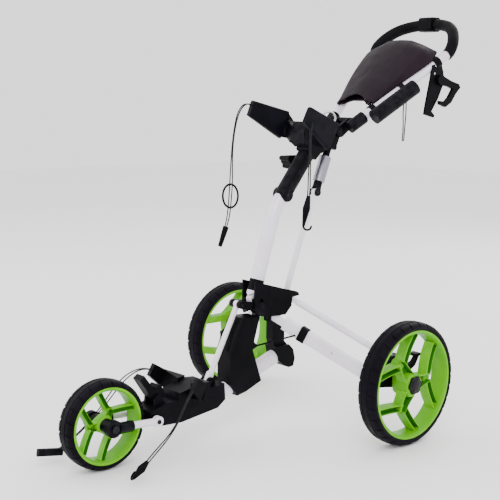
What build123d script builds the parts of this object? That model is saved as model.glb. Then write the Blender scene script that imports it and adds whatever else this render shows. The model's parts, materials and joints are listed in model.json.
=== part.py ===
from build123d import *
import math
import os

# Three-wheel folding golf push trolley, millimetres.
# +Z is up, -Y is the way it rolls (front wheel), +X is the left side as the golfer pushes it.
# The floor is Z = 0 and the origin lies midway between the front of the front wheel and the grip.

# ---- driving dimensions -------------------------------------------------------------------
rear_axle_y = 147.0
rear_wheel_radius = 146.0
rear_wheel_x = 310.5
rear_tyre_width = 51.0
front_axle_y = -487.0
front_wheel_radius = 99.0
front_tyre_width = 50.0

lower_tube_radius = 18.0
upper_tube_radius = 17.5
link_radius = 8.0
leg_radius = 12.3
tube_wall = 2.0
cord_diameter = 3.0

shaft_gap = 0.05          # radial clearance of a pin in its hole
side_gap = 0.5            # clearance beside a moving eye

# hinge centres in the YZ plane
main_foot = (-59.5, 321.0)
main_head = (34.5, 567.0)
strut_foot = (51.5, 321.0)
strut_head = (145.5, 567.0)
handle_pivot = (209.1, 718.0)
fork_pivot = (-370.0, 91.0)
brace_top = (-107.0, 314.0)
brace_bottom = (-196.0, 141.0)

# rear leg hinges: beam below, link above, both swinging about fore-and-aft pins
hub_pin_x = 24.0
carrier_pin_x = 258.0
beam_inner = Vector(hub_pin_x, -14.6, 276.8)
beam_outer = Vector(carrier_pin_x, 98.2, 152.4)
link_inner = Vector(hub_pin_x, 32.4, 320.8)
link_outer = Vector(carrier_pin_x, 145.2, 196.4)
leg_direction = (beam_outer - beam_inner).normalized()

# lower frame tube
lower_tube_front = Vector(0, -215, 87.5)
lower_tube_rear = Vector(0, 28, 172.2)

# handle legs fan out from the pivot
leg_start = Vector(34.4, 209.1, 718.0)
leg_run = Vector(117.5, 360.0, 254.2)
handle_pitch = Vector(0, 360.0, 254.2).normalized()

os.makedirs("parts", exist_ok=True)


# ---- helpers ------------------------------------------------------------------------------
def save(piece, name):
    """Label a finished piece and write its STEP file."""
    piece.label = name
    export_step(piece, f"parts/{name}.step")


def rod(start, end, radius, bore=0.0):
    """Round bar or tube from start to end."""
    start = Vector(*start)
    axis = Vector(*end) - start
    with BuildPart() as bar:
        with BuildSketch(Plane(origin=start, z_dir=axis)):
            Circle(radius)
            if bore:
                Circle(bore, mode=Mode.SUBTRACT)
        extrude(amount=axis.length)
    return bar.part


def side_plate(points, x_low, x_high):
    """Flat piece with a YZ outline, from x_low to x_high."""
    with BuildPart() as flat:
        with BuildSketch(Plane.YZ.offset(x_low)):
            with BuildLine():
                Polyline(*points, close=True)
            make_face()
        extrude(amount=x_high - x_low)
    return flat.part


def slab(x_range, y_range, z_range):
    """Axis-aligned block."""
    size = [high - low for low, high in (x_range, y_range, z_range)]
    middle = [(high + low) / 2 for low, high in (x_range, y_range, z_range)]
    with BuildPart() as block:
        with Locations(tuple(middle)):
            Box(*size)
    return block.part


def cross_pin(centre, x_low, x_high, radius):
    """Pin or hole along X at a YZ centre."""
    return rod((x_low, *centre), (x_high, *centre), radius)


def fore_pin(x, z, y_low, y_high, radius):
    """Pin or hole along Y."""
    return rod((x, y_low, z), (x, y_high, z), radius)


def mirrored(piece):
    """The same piece on the other side of the trolley."""
    return mirror(piece, about=Plane.YZ)


def leg_point(share, side=1):
    """Point on a handle leg, share of its run from the pivot."""
    point = leg_start + leg_run * share
    return Vector(point.X * side, point.Y, point.Z)


def cord_tube(name, route, smallest_radius):
    """Cord of round section along straight runs joined by tangent arcs."""
    points = [Vector(*place) for place in route]
    radii = []
    for before, here, after in zip(points, points[1:], points[2:]):
        turn = (here - before).get_angle(after - here)
        run = min((here - before).length, (after - here).length)
        radii.append(0.45 * run / math.tan(math.radians(turn) / 2))
    with BuildPart() as cord:
        with BuildLine():
            path = FilletPolyline(*points, radius=radii)
        with BuildSketch(Plane(origin=path @ 0, z_dir=path % 0)):
            Circle(cord_diameter / 2)
        sweep(path=path)
    expected = math.pi * cord_diameter ** 2 / 4 * path.length
    print(name, "length", round(path.length, 1), "volume ratio", round(cord.part.volume / expected, 4),
          "tightest arcs", [round(radius, 1) for radius in sorted(radii)[:4]], "limit", smallest_radius)
    save(cord.part, name)


# ---- wheels -------------------------------------------------------------------------------
def tyre(centre, radius, width, rim_radius):
    """Solid foam tyre with rounded shoulders, revolved about its axle."""
    shoulder = 10.0
    lip = 2.5
    tread_half = width / 2
    with BuildPart() as ring:
        with BuildSketch(Plane(origin=centre, x_dir=(1, 0, 0), z_dir=(0, -1, 0))):
            with BuildLine():
                Polyline(
                    (-tread_half + 1.5, rim_radius),
                    (-tread_half, rim_radius + lip),
                    (-tread_half, radius - shoulder),
                    (-tread_half + 4, radius - 4),
                    (-tread_half + shoulder, radius),
                    (tread_half - shoulder, radius),
                    (tread_half - 4, radius - 4),
                    (tread_half, radius - shoulder),
                    (tread_half, rim_radius + lip),
                    (tread_half - 1.5, rim_radius),
                    close=True,
                )
            make_face()
        revolve(axis=Axis(centre, (1, 0, 0)))
    return ring.part


def rim(centre, rim_radius, width, hub_radius, hub_half, bore, spoke_width):
    """Moulded rim: outer band, hub and five pairs of spokes, with an undercut seat."""
    band = 9.0
    band_half = width / 2 - 1
    spoke_half = min(width / 2 - 9, hub_half - 1)
    with BuildPart() as wheel:
        with BuildSketch(Plane(origin=centre, z_dir=(1, 0, 0)).offset(-band_half)):
            Circle(rim_radius)
            Circle(rim_radius - band, mode=Mode.SUBTRACT)
        extrude(amount=2 * band_half)
        with BuildSketch(Plane(origin=centre, z_dir=(1, 0, 0)).offset(-hub_half)):
            Circle(hub_radius)
        extrude(amount=2 * hub_half)
        with BuildSketch(Plane(origin=centre, z_dir=(1, 0, 0)).offset(-spoke_half)):
            for pair in range(5):
                for lean in (-1, 1):
                    with Locations(Rotation(0, 0, 72 * pair + 13 * lean)):
                        with Locations(((rim_radius - band + hub_radius) / 2, 0)):
                            Rectangle(rim_radius - band - hub_radius + 8, spoke_width)
        extrude(amount=2 * spoke_half)
        with BuildSketch(Plane(origin=centre, z_dir=(1, 0, 0)).offset(-hub_half)):
            Circle(bore)
        extrude(amount=2 * hub_half, mode=Mode.SUBTRACT)
    return wheel.part


rear_rim_radius = 128.0
front_rim_radius = 85.0
rear_bearing_radius = 14.0
front_bearing_radius = 13.0
axle_radius = 6.0
rear_centre = (rear_wheel_x, rear_axle_y, rear_wheel_radius)
front_centre = (0, front_axle_y, front_wheel_radius)

left_tyre = tyre(rear_centre, rear_wheel_radius, rear_tyre_width, rear_rim_radius + shaft_gap)
left_rim = rim(rear_centre, rear_rim_radius, rear_tyre_width, 24.0, 24.5,
               rear_bearing_radius + shaft_gap, 9.0)
save(left_tyre, "left_tyre")
save(mirrored(left_tyre), "right_tyre")
save(left_rim, "left_rim")
save(mirrored(left_rim), "right_rim")
save(tyre(front_centre, front_wheel_radius, front_tyre_width, front_rim_radius + shaft_gap), "front_tyre")
save(rim(front_centre, front_rim_radius, front_tyre_width, 20.0, 13.0, front_bearing_radius + shaft_gap, 7.5),
     "front_rim")

with BuildPart() as left_hub_cap:
    with BuildSketch(Plane.YZ.offset(rear_wheel_x + 24.9)):
        with Locations((rear_axle_y, rear_wheel_radius)):
            Circle(21)
    extrude(amount=7, taper=25)
save(left_hub_cap.part, "left_hub_cap")
save(mirrored(left_hub_cap.part), "right_hub_cap")

# axle, its two ball bearings and the two fore-and-aft carrier pins
with BuildPart() as left_axle:
    add(rod((256, rear_axle_y, rear_wheel_radius), (330, rear_axle_y, rear_wheel_radius), axle_radius))
    add(rod((256, rear_axle_y, rear_wheel_radius), (262, rear_axle_y, rear_wheel_radius), 9.5))
    for bearing_x in (288.0, 322.0):
        add(rod((bearing_x, rear_axle_y, rear_wheel_radius),
                (bearing_x + 9, rear_axle_y, rear_wheel_radius), rear_bearing_radius,
                axle_radius + shaft_gap))
    add(fore_pin(carrier_pin_x, beam_outer.Z, 75, 118, 5))
    add(fore_pin(carrier_pin_x, link_outer.Z, 124, 164, 4.5))
save(left_axle.part, "left_axle")
save(mirrored(left_axle.part), "right_axle")

# front axle with its bearings and end nuts
front_fork_x = 41.0
front_axle_radius = 5.0
front_hub = (front_axle_y, front_wheel_radius)
with BuildPart() as front_axle:
    add(cross_pin(front_hub, -53, 53, front_axle_radius))
    for bearing_x in (-12.9, 3.9):
        add(rod((bearing_x, *front_hub), (bearing_x + 9, *front_hub), front_bearing_radius,
                front_axle_radius + shaft_gap))
    for nut_x in (-53.0, 48.0):
        add(cross_pin(front_hub, nut_x, nut_x + 5, 8.5))
save(front_axle.part, "front_axle")

# ---- front fork ---------------------------------------------------------------------------
fork_arm_front = Vector(0, -453, 97.2)
fork_arm_rear = Vector(0, -380.5, 91.8)
with BuildPart() as fork_arms:
    for side in (-1, 1):
        x = side * front_fork_x
        add(rod(fork_arm_front + Vector(x, 0, 0), fork_arm_rear + Vector(x, 0, 0), 8))
        add(cross_pin(fork_pivot, x - 5.7, x + 5.7, 12))
        add(cross_pin(fork_pivot, x - 9, x + 9, 5 + shaft_gap), mode=Mode.SUBTRACT)
save(fork_arms.part, "fork_arms")

with BuildPart() as fork_dropouts:
    for side in (-1, 1):
        x = side * front_fork_x
        add(cross_pin(front_hub, x - 7, x + 7, 19))
        # spacer that reaches into the wheel
        x_low, x_high = sorted((side * 13.7, side * 35))
        add(cross_pin(front_hub, x_low, x_high, 15.5))
        add(rod((x, -473, 98), (x, -438, 96), 11.5))
        socket = (fork_arm_rear - fork_arm_front).normalized()
        arm_end = fork_arm_front + Vector(x, 0, 0)
        add(rod(arm_end - socket * 0.5, arm_end + socket * 30, 8 + shaft_gap), mode=Mode.SUBTRACT)
        add(cross_pin(front_hub, -55, 55, front_axle_radius + shaft_gap), mode=Mode.SUBTRACT)
save(fork_dropouts.part, "fork_dropouts")

crosshead_half = front_fork_x - 6
with BuildPart() as fork_crosshead:
    add(cross_pin(fork_pivot, -crosshead_half, crosshead_half, 9))
    add(cross_pin(fork_pivot, -crosshead_half, crosshead_half, 5 + shaft_gap), mode=Mode.SUBTRACT)
save(fork_crosshead.part, "fork_crosshead")

# ---- front base, latch and lower bag cradle -----------------------------------------------
base_outline = (
    (-392, 92), (-372, 78), (-350, 74), (-296, 71), (-190, 84), (-168, 100),
    (-171, 139), (-204, 135), (-300, 124), (-330, 124), (-382, 112),
)
latch_pivot = (-352.0, 132.0)
base_half = 32.0
with BuildPart() as front_base:
    add(side_plate(base_outline, -base_half, base_half))
    # two ears carry the folding brace, two more the fork latch
    for side in (-1, 1):
        x_low, x_high = sorted((side * 6.3, side * 13.5))
        add(cross_pin(brace_bottom, x_low, x_high, 12))
        add(side_plate(((-208, 120), (-184, 120), (-184, 141), (-208, 141)), x_low, x_high))
        x_low, x_high = sorted((side * 14.5, side * 21))
        add(cross_pin(latch_pivot, x_low, x_high, 10))
        add(side_plate(((-364, 110), (-330, 110), (-342, 132), (-362, 132)), x_low, x_high))
    add(rod(lower_tube_front, lower_tube_rear, lower_tube_radius + shaft_gap), mode=Mode.SUBTRACT)
    add(cross_pin((front_axle_y, front_wheel_radius), -60, 60, front_wheel_radius + 6), mode=Mode.SUBTRACT)
    add(cross_pin(fork_pivot, -60, 60, 9 + shaft_gap), mode=Mode.SUBTRACT)
    add(slab((-6.2, 6.2), (-208, -180), (131.5, 170)), mode=Mode.SUBTRACT)
    add(cross_pin(brace_bottom, -30, 30, 4 + shaft_gap), mode=Mode.SUBTRACT)
    add(cross_pin(latch_pivot, -30, 30, 3 + shaft_gap), mode=Mode.SUBTRACT)
save(front_base.part, "front_base")

with BuildPart() as fork_latch:
    add(side_plate(((-352, 124), (-344, 132), (-349, 141), (-386, 190), (-398, 182), (-368, 138),
                    (-360, 130)),
                   -13.8, 13.8))
    # rounded thumb tab behind the finger
    add(side_plate(((-352, 130), (-358, 146), (-355, 158), (-348, 164), (-340, 161), (-333, 148), (-327, 135),
                    (-340, 131)), -13.8, 13.8))
    add(cross_pin(latch_pivot, -13.8, 13.8, 8))
    add(cross_pin(latch_pivot, -20.8, 20.8, 3))
save(fork_latch.part, "fork_latch")

cradle_x = 80.0
with BuildPart() as lower_bag_bracket:
    # saddle bolted over the base, with the two arms growing out of it
    add(side_plate(((-302, 123.9), (-214, 133.8), (-214, 150), (-236, 152), (-302, 140)),
                   -base_half, base_half))
    for side in (-1, 1):
        with BuildPart(mode=Mode.PRIVATE) as arm:
            with BuildSketch(Plane(origin=(side * 30, -252, 138), z_dir=(side * 1.0, -0.35, 0.12))):
                Rectangle(30, 36)
            with BuildSketch(Plane(origin=(side * (cradle_x - 4), -272, 148), x_dir=(1, side * 0.5, 0),
                                   z_dir=(side * 0.5, -1.0, 0.45))):
                Rectangle(12, 38)
            loft()
        add(arm.part)
        with BuildPart(mode=Mode.PRIVATE) as finger:
            with BuildSketch(Plane(origin=(side * (cradle_x - 4), -272, 148), x_dir=(1, side * 0.067, 0),
                                   z_dir=(side * 0.06, -0.9, 0.5))):
                Rectangle(11, 38)
            with BuildSketch(Plane(origin=(side * (cradle_x + 1), -300, 170), x_dir=(1, side * 0.067, 0),
                                   z_dir=(side * 0.06, -0.9, 0.5))):
                Rectangle(13, 30)
            loft()
        add(finger.part)
    add(side_plate(base_outline, -base_half - 0.2, base_half + 0.2), mode=Mode.SUBTRACT)
save(lower_bag_bracket.part, "lower_bag_bracket")


# ---- lower frame --------------------------------------------------------------------------
with BuildPart() as lower_tube:
    add(rod(lower_tube_front, lower_tube_rear, lower_tube_radius, lower_tube_radius - tube_wall))
save(lower_tube.part, "lower_tube")

brace_vector = Vector(0, *brace_top) - Vector(0, *brace_bottom)
brace_axis = brace_vector.normalized()
with BuildPart() as front_brace:
    add(rod(Vector(0, *brace_bottom) + brace_axis * 14, Vector(0, *brace_top) - brace_axis * 17, 6.6))
    add(side_plate(((-203, 145), (-189, 137), (-182, 158), (-193, 164)), -6, 6))
    add(side_plate(((-114, 310), (-100, 318), (-110, 300), (-121, 292)), -6, 6))
    add(cross_pin(brace_bottom, -6, 6, 8.5))
    add(cross_pin(brace_top, -6, 6, 8.5))
    add(cross_pin(brace_bottom, -7, 7, 4 + shaft_gap), mode=Mode.SUBTRACT)
    add(cross_pin(brace_top, -7, 7, 4 + shaft_gap), mode=Mode.SUBTRACT)
save(front_brace.part, "front_brace")

# ---- rear hub housing ---------------------------------------------------------------------
hub_outline = (
    (-72, 366.5), (37, 335.3), (47, 333.3), (53, 329), (54, 323), (31, 321), (29, 300), (10, 281),
    (-19, 281), (-62, 283), (-72, 296),
)
hub_cavity = ((-66.5, 359.8), (36, 330.4), (60, 329.8), (60, 250), (-66.5, 250))
hub_half = 44.0
hub_nose_half = 24.0


def nose_corner(side, inset):
    """Upright prism that bevels one front corner of the housing in plan."""
    start = hub_nose_half - inset
    with BuildPart() as prism:
        with BuildSketch(Plane.XY.offset(240)):
            with BuildLine():
                Polyline((side * start, -130), (side * start, -72), (side * (start + 25), -32),
                         (side * 90, -32), (side * 90, -130), close=True)
            make_face()
        extrude(amount=180)
    return prism.part


with BuildPart() as hub_cavity_block:
    add(side_plate(hub_cavity, -hub_half + 4.5, hub_half - 4.5))
    for side in (-1, 1):
        add(nose_corner(side, 6), mode=Mode.SUBTRACT)
with BuildPart() as strut_slot:
    add(slab((-8, 8), (4, 70), (300, 420)))
    add(cross_pin(strut_foot, -9, 9, 10.2), mode=Mode.SUBTRACT)
with BuildPart() as hub_housing:
    add(side_plate(hub_outline, -hub_half, hub_half))
    for side in (-1, 1):
        add(nose_corner(side, 0), mode=Mode.SUBTRACT)
    add(hub_cavity_block.part, mode=Mode.SUBTRACT)
    # webs beside the slot that the upper tube folds into
    for side in (-1, 1):
        x_low, x_high = sorted((side * 19.5, side * 23.5))
        add(side_plate(((-71.5, 297), (-71.5, 366), (-36, 355.5), (-36, 297)), x_low, x_high))
        # walls that hold the rear leg pins
        x_low, x_high = sorted((side * 13.5, side * 30))
        add(slab((x_low, x_high), (-34, -24.5), (267, 352)))
        add(slab((x_low, x_high), (-4.6, 5), (271, 343)))
        add(slab((x_low, x_high), (14.8, 24.4), (308, 337)))
        add(slab((x_low, x_high), (42.4, 50), (312.5, 331)))
        # ears of the strut pin and of the brace pin
        x_low, x_high = sorted((side * 6.3, side * 13.6))
        add(cross_pin(strut_foot, x_low, x_high, 10))
        add(side_plate(((15, 306), (52, 311), (52, 331), (15, 339)), x_low, x_high))
        x_low, x_high = sorted((side * 6.3, side * 20))
        add(cross_pin(brace_top, x_low, x_high, 9.5))
        add(side_plate(((-107, 304.5), (-68, 299), (-68, 316), (-107, 323.5)), x_low, x_high))
    add(slab((-19.5, 19.5), (-170, -24), (324, 420)), mode=Mode.SUBTRACT)
    add(slab((-6.2, 6.2), (-170, -24), (250, 420)), mode=Mode.SUBTRACT)
    add(slab((-12, 12), (-86, -60), (296, 330)), mode=Mode.SUBTRACT)
    add(slab((-6.2, 6.2), (4, 70), (250, 420)), mode=Mode.SUBTRACT)
    add(slab((-9.5, 9.5), (4, 70), (331.5, 420)), mode=Mode.SUBTRACT)
    add(strut_slot.part, mode=Mode.SUBTRACT)
    add(cross_pin(main_foot, -60, 60, 5 + shaft_gap), mode=Mode.SUBTRACT)
    add(cross_pin(strut_foot, -30, 30, 4 + shaft_gap), mode=Mode.SUBTRACT)
    add(cross_pin(brace_top, -30, 30, 4 + shaft_gap), mode=Mode.SUBTRACT)
    for side in (-1, 1):
        add(fore_pin(side * hub_pin_x, beam_inner.Z, -40, 10, 5 + shaft_gap), mode=Mode.SUBTRACT)
        add(fore_pin(side * hub_pin_x, link_inner.Z, 10, 60, 4.5 + shaft_gap), mode=Mode.SUBTRACT)
save(hub_housing.part, "hub_housing")

# ---- brackets between the hub housing and the lower tube ------------------------------------
collar_outline = (
    (-110, 283.8), (-129, 250), (-147, 208), (-146, 128), (-124, 98), (-95, 104), (-48, 122),
    (-78, 205), (-56, 280.8), (-56, 281), (-100, 282.9),
)
with BuildPart() as collar_bracket:
    add(side_plate(collar_outline, -24, 24))
    add(rod(lower_tube_front, lower_tube_rear, lower_tube_radius + shaft_gap), mode=Mode.SUBTRACT)
    # stop rod that the unfolded left beam's band meets
    add(rod((14, -66, 207), (89, 0, 239), 2.2))
    add(rod((14, -82, 201.5), (14, -60, 210), 6))
save(collar_bracket.part, "collar_bracket")

end_outline = (
    (-2, 262), (-2, 215), (4, 195), (12, 160), (28, 147), (47, 138), (62, 140), (67, 158),
    (61, 182), (38, 205), (38, 246), (8, 262),
)
with BuildPart() as end_bracket:
    add(side_plate(end_outline, -21, 21))
    # the neck narrows between the rear legs
    for side in (-1, 1):
        x_low, x_high = sorted((side * 11.5, side * 30))
        add(slab((x_low, x_high), (-60, 80), (196, 300)), mode=Mode.SUBTRACT)
    add(rod(lower_tube_front, lower_tube_rear + Vector(0, 0.2, 0.07), lower_tube_radius + shaft_gap),
        mode=Mode.SUBTRACT)
save(end_bracket.part, "end_bracket")

with BuildPart() as chassis_pins:
    add(cross_pin(main_foot, -27, 27, 5))
    add(cross_pin(strut_foot, -13.4, 13.4, 4))
    add(cross_pin(brace_top, -19, 19, 4))
    add(cross_pin(brace_bottom, -13.4, 13.4, 4))
    add(cross_pin(fork_pivot, -49, 49, 5))
    for side in (-1, 1):
        add(fore_pin(side * hub_pin_x, beam_inner.Z, -33.5, 4.5, 5))
        add(fore_pin(side * hub_pin_x, link_inner.Z, 15, 49.5, 4.5))
save(chassis_pins.part, "chassis_pins")

# ---- rear legs ----------------------------------------------------------------------------
beam_side = Vector(leg_direction.Y, -leg_direction.X, 0).normalized()
beam_tube_start = beam_inner + leg_direction * 34
beam_tube_end = beam_outer - leg_direction * 20
with BuildPart() as left_arm_beam:
    with BuildSketch(Plane(origin=beam_tube_start, x_dir=beam_side, z_dir=leg_direction)):
        RectangleRounded(16, 33, 5)
    extrude(amount=(beam_tube_end - beam_tube_start).length)
    with BuildSketch(Plane(origin=beam_inner, x_dir=beam_side, z_dir=leg_direction)):
        Rectangle(11, 17)
    extrude(amount=40)
    with BuildSketch(Plane(origin=beam_outer - leg_direction * 26, x_dir=beam_side, z_dir=leg_direction)):
        Rectangle(11, 18)
    extrude(amount=26)
    add(fore_pin(beam_inner.X, beam_inner.Z, -24, -5.5, 9.5))
    add(fore_pin(beam_outer.X, beam_outer.Z, 87, 106.5, 10))
    # shallow recess along each flat side, and the folding-lock hole
    for face in (-1, 1):
        start = beam_tube_start + leg_direction * 12 + beam_side * face * 8.6
        with BuildSketch(Plane(origin=start, x_dir=beam_side, z_dir=leg_direction)):
            Rectangle(3.2, 17)
        extrude(amount=(beam_tube_end - beam_tube_start).length - 24, mode=Mode.SUBTRACT)
    hole = beam_inner + leg_direction * 172
    add(rod(hole - beam_side * 12, hole + beam_side * 12, 3.5), mode=Mode.SUBTRACT)
    add(fore_pin(beam_inner.X, beam_inner.Z, -40, 20, 5 + shaft_gap), mode=Mode.SUBTRACT)
    add(fore_pin(beam_outer.X, beam_outer.Z, 70, 125, 5 + shaft_gap), mode=Mode.SUBTRACT)
save(left_arm_beam.part, "left_arm_beam")
save(mirrored(left_arm_beam.part), "right_arm_beam")

with BuildPart() as left_arm_link:
    add(rod(link_inner + leg_direction * 30, link_outer - leg_direction * 16, link_radius, link_radius - 1.5))
    with BuildSketch(Plane(origin=link_inner, x_dir=beam_side, z_dir=leg_direction)):
        Rectangle(9, 12)
    extrude(amount=34)
    with BuildSketch(Plane(origin=link_outer - leg_direction * 22, x_dir=beam_side, z_dir=leg_direction)):
        Rectangle(9, 12)
    extrude(amount=22)
    add(fore_pin(link_inner.X, link_inner.Z, 25, 41.5, 8))
    add(fore_pin(link_outer.X, link_outer.Z, 135.3, 153, 8.5))
    add(fore_pin(link_inner.X, link_inner.Z, 10, 60, 4.5 + shaft_gap), mode=Mode.SUBTRACT)
    add(fore_pin(link_outer.X, link_outer.Z, 120, 170, 4.5 + shaft_gap), mode=Mode.SUBTRACT)
save(left_arm_link.part, "left_arm_link")
save(mirrored(left_arm_link.part), "right_arm_link")

band_centre = beam_inner + leg_direction * 88
with BuildPart() as arm_band:
    with BuildSketch(Plane(origin=band_centre - leg_direction * 10, x_dir=beam_side, z_dir=leg_direction)):
        RectangleRounded(21, 38, 6)
        RectangleRounded(16.1, 33.1, 5, mode=Mode.SUBTRACT)
    extrude(amount=20)
save(arm_band.part, "arm_band")

with BuildPart() as left_carrier:
    add(side_plate(((77, 140), (135, 131), (165, 135), (166, 205), (128, 207), (77, 165)), 269, 281))
    for y_low, y_high in ((77, 86.5), (107, 116)):
        add(fore_pin(carrier_pin_x, beam_outer.Z, y_low, y_high, 10))
        add(slab((carrier_pin_x, 270), (y_low, y_high), (beam_outer.Z - 10, beam_outer.Z + 10)))
    for y_low, y_high in ((126, 134.8), (153.5, 162.5)):
        add(fore_pin(carrier_pin_x, link_outer.Z, y_low, y_high, 9))
        add(slab((carrier_pin_x, 270), (y_low, y_high), (link_outer.Z - 9, link_outer.Z + 9)))
    add(fore_pin(carrier_pin_x, beam_outer.Z, 70, 125, 5 + shaft_gap), mode=Mode.SUBTRACT)
    add(fore_pin(carrier_pin_x, link_outer.Z, 120, 170, 4.5 + shaft_gap), mode=Mode.SUBTRACT)
    add(rod((262.5, rear_axle_y, rear_wheel_radius), (284, rear_axle_y, rear_wheel_radius), 13))
    add(rod((250, rear_axle_y, rear_wheel_radius), (290, rear_axle_y, rear_wheel_radius),
            axle_radius + shaft_gap), mode=Mode.SUBTRACT)
save(mirrored(left_carrier.part), "right_carrier")

# the left carrier also has the ear and pin of the parking brake pedal
pedal_pivot = (180.0, 158.0)
with BuildPart() as left_carrier_with_ear:
    add(left_carrier.part)
    add(cross_pin(pedal_pivot, 276.5, 281, 9))
    add(side_plate(((160, 149), (180, 149), (180, 167), (160, 167)), 276.5, 281))
    add(cross_pin(pedal_pivot, 262, 278, 3))
save(left_carrier_with_ear.part, "left_carrier")

with BuildPart() as brake_pedal:
    add(side_plate(((172, 150), (184, 149), (222, 168), (236, 190), (230, 194), (214, 178), (184, 168),
                    (174, 166)),
                   264, 276))
    add(slab((252, 276), (222, 242), (189, 196)))
    add(cross_pin(pedal_pivot, 264, 276, 9))
    add(cross_pin(pedal_pivot, 260, 280, 3 + shaft_gap), mode=Mode.SUBTRACT)
save(brake_pedal.part, "brake_pedal")

# ---- upper tube and strut: the two equal bars of the folding parallelogram -------------------
head_axis = Vector(0, 97.5, 123.0).normalized()
strut_axis = Vector(0, 46.5, 123.0).normalized()
main_head_point = Vector(0, *main_head)
strut_head_point = Vector(0, *strut_head)

with BuildPart() as upper_tube:
    with BuildLine():
        bend = FilletPolyline((0, *main_foot), (0, 8.3, 536), (0, *main_head), radius=140)
    with BuildSketch(Plane(origin=bend @ 0, z_dir=bend % 0)):
        Circle(upper_tube_radius)
        Circle(upper_tube_radius - tube_wall, mode=Mode.SUBTRACT)
    sweep(path=bend)
    for eye in (main_foot, main_head):
        add(cross_pin(eye, -25, 25, 18.8), mode=Mode.SUBTRACT)
        add(cross_pin(eye, -9, 9, 12))
    # a flat tang and a plug close each end
    for end, inward in ((bend @ 0, bend % 0), (bend @ 1, -(bend % 1))):
        with BuildSketch(Plane(origin=end, x_dir=(1, 0, 0), z_dir=inward)):
            Rectangle(17, 14)
        extrude(amount=24)
        add(rod(end + inward * 19.5, end + inward * 32, upper_tube_radius - tube_wall / 2))
    for eye in (main_foot, main_head):
        add(cross_pin(eye, -25, 25, 5 + shaft_gap), mode=Mode.SUBTRACT)
save(upper_tube.part, "upper_tube")

with BuildPart() as strut_tube:
    with BuildLine():
        bow = ThreePointArc((0, *strut_foot), (0, 94.8, 444), (0, *strut_head))
    with BuildSketch(Plane(origin=bow @ 0, z_dir=bow % 0)):
        Circle(7.5)
    sweep(path=bow)
    for eye in (strut_foot, strut_head):
        add(cross_pin(eye, -25, 25, 10.5), mode=Mode.SUBTRACT)
        add(cross_pin(eye, -5.8, 5.8, 9))
    with BuildSketch(Plane(origin=bow @ 0, x_dir=(1, 0, 0), z_dir=bow % 0)):
        Rectangle(10, 8)
    extrude(amount=16)
    with BuildSketch(Plane(origin=bow @ 1, x_dir=(1, 0, 0), z_dir=-(bow % 1))):
        Rectangle(10, 8)
    extrude(amount=16)
    for eye in (strut_foot, strut_head):
        add(cross_pin(eye, -25, 25, 4 + shaft_gap), mode=Mode.SUBTRACT)
save(strut_tube.part, "strut_tube")

# ---- upper carriage -----------------------------------------------------------------------
sleeve_radius = 20.5
sleeve_start = main_head_point + head_axis * 17
sleeve_end = main_head_point + head_axis * 120
knob_stud = main_head_point + head_axis * 98
with BuildPart() as upper_sleeve:
    add(rod(sleeve_start, sleeve_end, sleeve_radius))
    # front half-shell that hides the hinge at the tube's head
    add(rod(main_head_point - head_axis * 9, sleeve_start, sleeve_radius, sleeve_radius - 2))
    with BuildSketch(Plane(origin=main_head_point - head_axis * 10, x_dir=(1, 0, 0), z_dir=head_axis)):
        with Locations((0, 15)):
            Rectangle(60, 30)
    extrude(amount=26.9, mode=Mode.SUBTRACT)
    for side in (-1, 1):
        x_low, x_high = sorted((side * 9.4, side * 18))
        add(cross_pin(main_head, x_low, x_high, 17))
        with BuildSketch(Plane(origin=main_head_point, x_dir=(1, 0, 0), z_dir=head_axis)):
            with Locations((side * 13.7, 0)):
                Rectangle(8.6, 22)
        extrude(amount=18)
    add(rod(sleeve_start + head_axis * 12, sleeve_end, 15.5), mode=Mode.SUBTRACT)
    add(cross_pin(main_head, -25, 25, 5 + shaft_gap), mode=Mode.SUBTRACT)
    add(rod((-30, knob_stud.Y, knob_stud.Z), (0, knob_stud.Y, knob_stud.Z), 4 + shaft_gap),
        mode=Mode.SUBTRACT)
save(upper_sleeve.part, "upper_sleeve")

with BuildPart() as clamp_knob:
    with BuildSketch(Plane(origin=(-27, knob_stud.Y, knob_stud.Z), z_dir=(-1, 0, 0))):
        Circle(14)
        with PolarLocations(13, 3):
            Circle(9)
    extrude(amount=38, taper=5)
    fillet(clamp_knob.edges().group_by(Axis.X)[0], 3)
    add(rod((-27, knob_stud.Y, knob_stud.Z), (-22, knob_stud.Y, knob_stud.Z), 10))
    add(rod((-27, knob_stud.Y, knob_stud.Z), (-10, knob_stud.Y, knob_stud.Z), 4))
save(clamp_knob.part, "clamp_knob")

block_outline = (
    (93.3, 674.2), (125.3, 648.7), (141, 663), (178, 677), (195, 671), (207, 686), (214, 701),
    (214, 735), (205, 735), (160, 722), (120, 702), (100, 690),
)
with BuildPart() as hinge_block:
    add(side_plate(block_outline, -19, 19))
    add(cross_pin(handle_pivot, -19, 19, 17))
    for side in (-1, 1):
        x_low, x_high = sorted((side * 13, side * 30))
        add(cross_pin(handle_pivot, x_low, x_high, 19.5), mode=Mode.SUBTRACT)
        add(slab((x_low, x_high), (199, 240), (660, 760)), mode=Mode.SUBTRACT)
    add(rod(strut_head_point + strut_axis * 109, strut_head_point + strut_axis * 131, 9 + shaft_gap),
        mode=Mode.SUBTRACT)
    add(cross_pin(handle_pivot, -30, 30, 5 + shaft_gap), mode=Mode.SUBTRACT)
save(hinge_block.part, "handle_hinge_block")

with BuildPart() as strut_connector:
    add(rod(strut_head_point + strut_axis * 11.6, strut_head_point + strut_axis * 130.8, 9))
    add(rod(strut_head_point + strut_axis * 11.6, strut_head_point + strut_axis * 26, 11))
    for side in (-1, 1):
        x_low, x_high = sorted((side * 6.3, side * 10.5))
        add(cross_pin(strut_head, x_low, x_high, 9.6))
        with BuildSketch(Plane(origin=strut_head_point, x_dir=(1, 0, 0), z_dir=strut_axis)):
            with Locations((side * 8.4, 0)):
                Rectangle(4.2, 12)
        extrude(amount=13)
    add(cross_pin(strut_head, -25, 25, 4 + shaft_gap), mode=Mode.SUBTRACT)
save(strut_connector.part, "strut_connector")

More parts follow.
